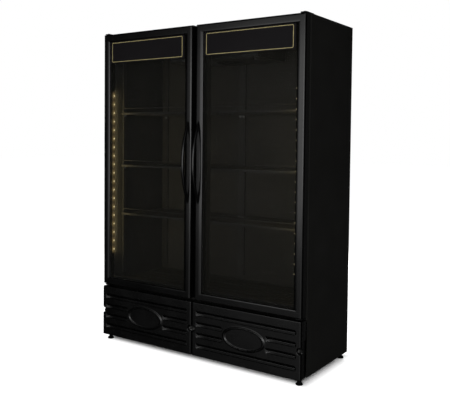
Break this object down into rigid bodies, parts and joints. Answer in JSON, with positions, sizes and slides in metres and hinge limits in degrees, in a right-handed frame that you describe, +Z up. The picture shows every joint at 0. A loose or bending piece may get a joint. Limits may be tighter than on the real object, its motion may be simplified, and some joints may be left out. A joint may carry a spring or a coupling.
{
  "type": "upright display refrigerator",
  "caption": "Upright glass-door display refrigerator: foamed cabinet with wire shelves, hinged glass doors with bow handles and header signs, kick panels over the machine compartment.",
  "frame": {"origin": "on the floor, in the middle of the overall width and of the overall depth from the handles to the rear panel", "axes": "+X to the right seen from the front, +Y to the back, +Z up"},
  "size_m": [1.45, 0.688, 2.008],
  "materials": {
    "black_enamel": "satin black powder coat on steel sheet",
    "rear_enamel": "satin black coated steel sheet",
    "foam": "rigid polyurethane foam",
    "dark_liner": "dark grey moulded liner sheet",
    "black_abs": "black textured ABS moulding",
    "upright_steel": "dark coated steel",
    "wire_steel": "grey plastic-coated steel wire",
    "housing_grey": "grey coated steel sheet",
    "fin_aluminium": "thin mill-finish fins",
    "motor_black": "black lacquered steel",
    "fan_plastic": "moulded nylon",
    "dial_white": "moulded ABS",
    "drain_plastic": "pale flexible PVC",
    "copper": "drawn copper tube",
    "screw_steel": "black zinc-plated steel",
    "hinge_steel": "black coated steel plate",
    "foot_rubber": "black moulded rubber over a steel stud",
    "frame_black": "black anodised extrusion, satin",
    "door_glass": "clear float glass",
    "spacer_metal": "dark spacer bar",
    "gasket_rubber": "black magnetic PVC gasket",
    "handle_gloss": "gloss black moulded grip",
    "sign_charcoal": "charcoal plate with a gold border line",
    "lamp_white": "white channel with warm light points"
  },
  "bodies": {
    "cabinet": {"left_side_panel": "black_enamel", "right_side_panel": "black_enamel", "roof_panel": "black_enamel", "rear_panel": "rear_enamel", "deck_panel": "rear_enamel", "foam_insulation": "foam", "liner_panels": "dark_liner", "breaker_strips": "black_abs", "centre_mullion": "black_enamel", "shelf_uprights": "upright_steel", "shelf_clips": "upright_steel", "left_upper_shelf": "wire_steel", "left_middle_shelf": "wire_steel", "left_lower_shelf": "wire_steel", "right_upper_shelf": "wire_steel", "right_middle_shelf": "wire_steel", "right_lower_shelf": "wire_steel", "shelf_guards": "wire_steel", "left_floor_rack": "wire_steel", "right_floor_rack": "wire_steel", "evaporator_cover": "housing_grey", "evaporator_coil": "fin_aluminium", "evaporator_fan_motor": "motor_black", "drain_tube": "drain_plastic", "base_frame": "rear_enamel", "compressor": "motor_black", "condenser_coil": "fin_aluminium", "fan_shroud": "black_abs", "condenser_fan_motor": "motor_black", "refrigerant_pipes": "copper", "condensate_tray": "black_abs", "control_box": "housing_grey", "cable_gland": "black_abs", "rear_grille": "rear_enamel", "left_kick_panel": "black_abs", "right_kick_panel": "black_abs", "kick_screws": "screw_steel", "top_hinge_brackets": "hinge_steel", "bottom_hinge_brackets": "hinge_steel"},
    "left_door": {"left_door_frame": "frame_black", "left_door_glass": "door_glass", "left_glass_spacer": "spacer_metal", "left_door_gasket": "gasket_rubber", "left_door_handle": "handle_gloss", "left_header_sign": "sign_charcoal", "left_lamp_strip": "lamp_white"},
    "right_door": {"right_door_frame": "frame_black", "right_door_glass": "door_glass", "right_glass_spacer": "spacer_metal", "right_door_gasket": "gasket_rubber", "right_door_handle": "handle_gloss", "right_header_sign": "sign_charcoal", "right_lamp_strip": "lamp_white"},
    "evaporator_fan": {"evaporator_fan": "fan_plastic"},
    "condenser_fan": {"condenser_fan": "fan_plastic"},
    "thermostat_dial": {"thermostat_dial": "dial_white"},
    "front_left_foot": {"front_left_foot": "foot_rubber"},
    "front_right_foot": {"front_right_foot": "foot_rubber"},
    "rear_left_foot": {"rear_left_foot": "foot_rubber"},
    "rear_right_foot": {"rear_right_foot": "foot_rubber"}
  },
  "joints": [
    {"name": "left_door_hinge", "type": "hinge", "parent": "cabinet", "child": "left_door", "pos_m": [-0.702, -0.252, 0.373], "axis": [0, 0, -1], "range_deg": [0, 100]},
    {"name": "right_door_hinge", "type": "hinge", "parent": "cabinet", "child": "right_door", "pos_m": [0.702, -0.252, 0.373], "axis": [0, 0, 1], "range_deg": [0, 100]},
    {"name": "evaporator_fan_spin", "type": "hinge", "parent": "cabinet", "child": "evaporator_fan", "pos_m": [0, 0.13, 1.83], "axis": [0, 0, 1], "continuous": true},
    {"name": "condenser_fan_spin", "type": "hinge", "parent": "cabinet", "child": "condenser_fan", "pos_m": [0.323, -0.13, 0.1862], "axis": [0, 1, 0], "continuous": true},
    {"name": "thermostat_turn", "type": "hinge", "parent": "cabinet", "child": "thermostat_dial", "pos_m": [0.301, -0.057, 1.8], "axis": [0, 0, -1], "range_deg": [0, 270]},
    {"name": "front_left_foot_screw", "type": "slide", "parent": "cabinet", "child": "front_left_foot", "axis": [0, 0, -1], "range_m": [0, 0.015]},
    {"name": "front_right_foot_screw", "type": "slide", "parent": "cabinet", "child": "front_right_foot", "axis": [0, 0, -1], "range_m": [0, 0.015]},
    {"name": "rear_left_foot_screw", "type": "slide", "parent": "cabinet", "child": "rear_left_foot", "axis": [0, 0, -1], "range_m": [0, 0.015]},
    {"name": "rear_right_foot_screw", "type": "slide", "parent": "cabinet", "child": "rear_right_foot", "axis": [0, 0, -1], "range_m": [0, 0.015]}
  ]
}
